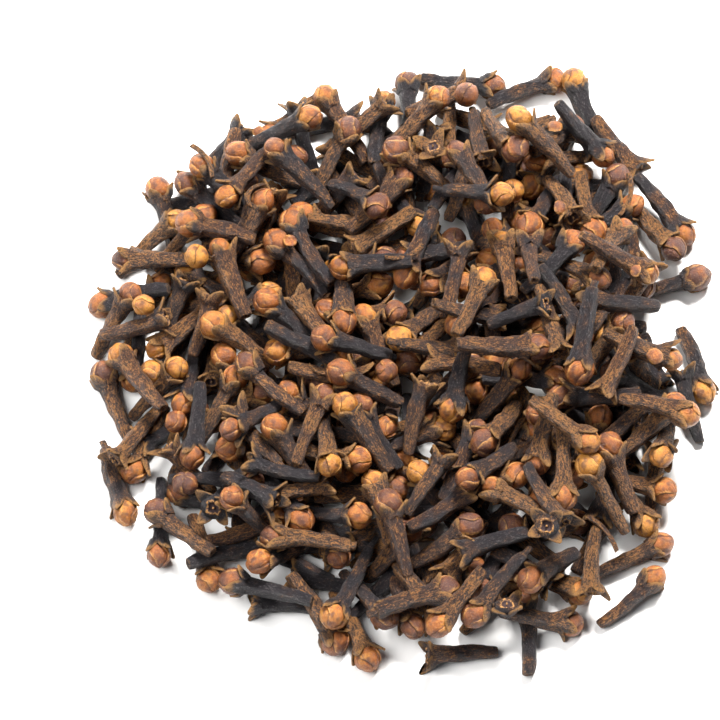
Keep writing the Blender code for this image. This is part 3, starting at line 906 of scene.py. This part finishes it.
def stem_material():
    """Grained skin, charcoal to brown, with ochre grains, grey grains that are partly a painted
    glint, and painted shade in the grain's hollows. Lobes have pale edges.
    """
    n = Nodes("clove_skin", 0.56, 0.45)
    own = n.attribute("own", "Vector")
    tint = n.attribute("tint", "Fac")
    part, edge, _ = n.split(n.attribute("mark", "Vector"))
    # Noise in mm, drawn out along the stem
    grain = n.noise(n.stretch(own, (0.42, 1.1, 1.1)), 2.8, 4, 0.75, 0.6)
    fine = n.noise(n.stretch(own, (0.5, 1.1, 1.1)), 5.6, 3, 0.8)
    patches = n.noise(own, 0.3, 3)
    clouds = n.noise(n.stretch(own, (0.7, 1, 1)), 1.0, 2)
    # From charcoal through brown or red-brown to ochre, by the clove's own tint and by patches
    reddish = n.math("FRACT", n.math("MULTIPLY", tint, REDNESS_TIMES))
    tone = n.math("ADD", tint, n.math("MULTIPLY", n.math("SUBTRACT", patches, 0.5), 1.6))
    tone = n.math("ADD", tone, n.math("MULTIPLY", n.math("SUBTRACT", clouds, 0.5), 0.7))
    brown = n.mix(n.ramp(reddish, 0.3, 0.9), STEM_BROWN, STEM_RED)
    skin = n.mix(n.ramp(tone, 0.05, 0.6), STEM_DARK, brown)
    skin = n.mix(n.ramp(tone, 0.6, 1.3), skin, STEM_OCHRE)
    # Raised grains are paler, and the grain's hollows are painted near black as shade
    # On darker skin the raised grains turn grey: partly grain colour, partly painted glint
    fleck_and_glint = n.mix(n.ramp(tone, 0.1, 0.5), GREY_GRAIN_AND_GLINT, FLECK)
    more = n.math("MULTIPLY", n.ramp(tone, 0.1, 1.1), 0.12)
    raised = n.math("ADD", n.math("ADD", grain, more), n.math("MULTIPLY", fine, 0.8))
    skin = n.mix(n.ramp(raised, 0.98, 1.10, 0.8), skin, fleck_and_glint)
    # Painted shade where the bumped grain is lowest
    pit_shade = n.math("ADD", n.math("MULTIPLY", grain, 0.5), n.math("MULTIPLY", fine, 0.5))
    skin = n.mix(n.ramp(pit_shade, 0.49, 0.41, 0.85), skin, PIT_SHADE)
    # The cut end, and the lobes' edges and tips
    cut = n.math("MULTIPLY", n.ramp(part, 0.03, 0.0, 0.6), n.ramp(grain, 0.4, 0.65))
    skin = n.mix(cut, skin, LOBE_TIP)
    lobe = n.ramp(part, 1.1, 1.45)
    rim = n.math("MULTIPLY", lobe, n.ramp(edge, 0.68, 0.95))
    rim = n.math("MULTIPLY", rim, n.ramp(grain, 0.3, 0.5))
    tip = n.math("MULTIPLY", n.ramp(part, 1.45, 1.85), n.ramp(grain, 0.35, 0.5))
    pale = n.math("MAXIMUM", rim, tip)
    skin = n.mix(n.math("MULTIPLY", pale, 0.9), skin, LOBE_TIP)
    n.bump(n.math("ADD", grain, n.math("MULTIPLY", fine, 0.6)), 1.3 * MM)
    return n.finish(skin)


def bud_material():
    """Petals, red-brown to orange and gold, dusky in patches, with pale, worn free edges and painted
    shade in the seams under them.
    """
    n = Nodes("clove_petals", 0.38, 0.4)
    own = n.attribute("own", "Vector")
    tint = n.attribute("tint", "Fac")
    fold, high, _ = n.split(n.attribute("mark", "Vector"))
    grain = n.noise(own, 3.2, 4, 0.7)
    cloud = n.noise(own, 0.5, 3)
    # From purple-brown through orange to gold, by the bud's own tint and by clouds
    own_tone = n.math("FRACT", n.math("MULTIPLY", tint, BUD_TONE_TIMES))
    warm = n.math("ADD", own_tone, n.math("MULTIPLY", n.math("SUBTRACT", cloud, 0.5), 1.5))
    petal = n.mix(n.ramp(warm, -0.1, 0.55), BUD_PURPLE, BUD_ORANGE)
    petal = n.mix(n.ramp(warm, 0.55, 1.1), petal, BUD_GOLD)
    dusk = n.math("ADD", n.noise(own, 0.8, 3), n.math("MULTIPLY", high, 0.05))
    petal = n.mix(n.ramp(dusk, 0.50, 0.66, 0.75), petal, BUD_PURPLE)
    petal = n.mix(n.ramp(grain, 0.5, 0.37, 0.45), petal, BUD_PURPLE)
    petal = n.mix(n.ramp(grain, 0.53, 0.68, 0.3), petal, BUD_EDGE)
    # Each petal's free edge is pale, and the seam under it is painted dark as shade
    worn = n.math("MULTIPLY", n.ramp(fold, 0.5, 0.98), n.ramp(dusk, 0.64, 0.45))
    petal = n.mix(n.math("MULTIPLY", worn, n.ramp(grain, 0.3, 0.6, 0.85)), petal, BUD_EDGE)
    petal = n.mix(n.ramp(fold, -0.80, -1.0, 0.85), petal, BUD_SEAM_SHADE)
    n.bump(grain, 0.3 * MM)
    return n.finish(petal)


def cup_material():
    """The hollow of an open clove, dark with a paler rim."""
    n = Nodes("clove_cup", 0.75, 0.3)
    own = n.attribute("own", "Vector")
    high, _, _ = n.split(n.attribute("mark", "Vector"))
    grain = n.noise(own, 3.0, 3)
    rim = n.math("MULTIPLY", n.ramp(high, 0.05, 0.35), n.ramp(grain, 0.35, 0.6))
    n.bump(grain, 0.25 * MM)
    return n.finish(n.mix(n.math("MULTIPLY", rim, 0.8), CUP_DARK, LOBE_TIP))


def floor_material():
    """Plain white, hardly uneven."""
    n = Nodes("white_table", 0.9, 0.1)
    grain = n.noise(n.node("ShaderNodeNewGeometry").outputs["Position"], 300)
    return n.finish(n.mix(grain, *TABLE_WHITES))


def add_floor():
    """The table that the heap lies on."""
    bpy.ops.mesh.primitive_plane_add(size=TABLE_SIZE)
    floor = bpy.context.object
    floor.name = "white_table"
    floor.data.materials.append(floor_material())


def add_light(name, size, energy, place, colour):
    """A square lamp that faces the heap."""
    data = bpy.data.lights.new(name, "AREA")
    data.size = size
    data.energy = energy
    data.color = colour
    lamp = bpy.data.objects.new(name, data)
    lamp.location = place
    lamp.rotation_euler = (-Vector(place)).to_track_quat("-Z", "Y").to_euler()
    bpy.context.scene.collection.objects.link(lamp)


def add_lights():
    """A dim white room, with a lamp behind and above the heap, so that shadows fall forward."""
    world = bpy.data.worlds.new("white_room")
    world.use_nodes = True
    world.node_tree.nodes["Background"].inputs["Color"].default_value = ROOM_COLOUR
    world.node_tree.nodes["Background"].inputs["Strength"].default_value = ROOM_STRENGTH
    bpy.context.scene.world = world
    for lamp in LAMPS:
        add_light(*lamp)


def add_camera():
    """A long lens from high above the near edge, with the heap where the picture has it."""
    data = bpy.data.cameras.new("camera")
    data.lens = data.sensor_width * CAMERA_DISTANCE / FIELD
    data.shift_x = 0.5 - MIDDLE_PIXEL[0] / PICTURE
    data.shift_y = MIDDLE_PIXEL[1] / PICTURE - 0.5
    data.clip_end = FARTHEST_SEEN
    camera = bpy.data.objects.new("camera", data)
    back = Vector((0, -math.cos(CAMERA_ELEVATION), math.sin(CAMERA_ELEVATION)))
    camera.location = back * CAMERA_DISTANCE
    camera.rotation_euler = (-back).to_track_quat("-Z", "Y").to_euler()
    bpy.context.scene.collection.objects.link(camera)
    bpy.context.scene.camera = camera


def kind_of(clove):
    """Which piece the clove belongs to."""
    if clove.kind == "open":
        return "cloves_open"
    return TONES[int(len(TONES) * clove.tint)]


heap = lay_heap()
detail = np.random.default_rng(DETAIL_SEED)
meshes = {}
for clove in heap.cloves:
    add_clove(meshes.setdefault(kind_of(clove), Mesh()), clove, detail)
deep, buds, calyxes, caps, stalks = Mesh(), Mesh(), Mesh(), Mesh(), Mesh()
for clove in deep_cloves(heap, detail):
    add_clove(deep, clove, detail)
for _ in range(LOOSE_BUDS):
    add_loose_bud(buds, heap.balls, detail)
for spot in SHOWN_CALYXES:
    add_calyx(calyxes, heap.balls, detail, spot)
for _ in range(CALYXES):
    add_calyx(calyxes, heap.balls, detail)
add_cap(caps, heap.balls, detail, SHOWN_CAP)
for _ in range(CAPS):
    add_cap(caps, heap.balls, detail)
add_stalk(stalks, heap.balls, detail, SHOWN_STALK)
for _ in range(STALKS):
    add_stalk(stalks, heap.balls, detail)

skin, petals, cup = stem_material(), bud_material(), cup_material()
pieces = [mesh.build(name, (skin, petals, cup)) for name, mesh in meshes.items()]
pieces.append(deep.build("cloves_deep", (skin, petals, cup)))
pieces.append(buds.build("loose_buds", (petals,)))
pieces.append(calyxes.build("loose_calyxes", (skin, petals, cup)))
pieces.append(caps.build("petal_caps", (petals,)))
pieces.append(stalks.build("loose_stalks", (skin,)))
for piece in pieces:
    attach(piece, "root")
    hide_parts("clove_heap")

add_floor()
add_lights()
add_camera()
bpy.context.scene.view_settings.view_transform = "Standard"
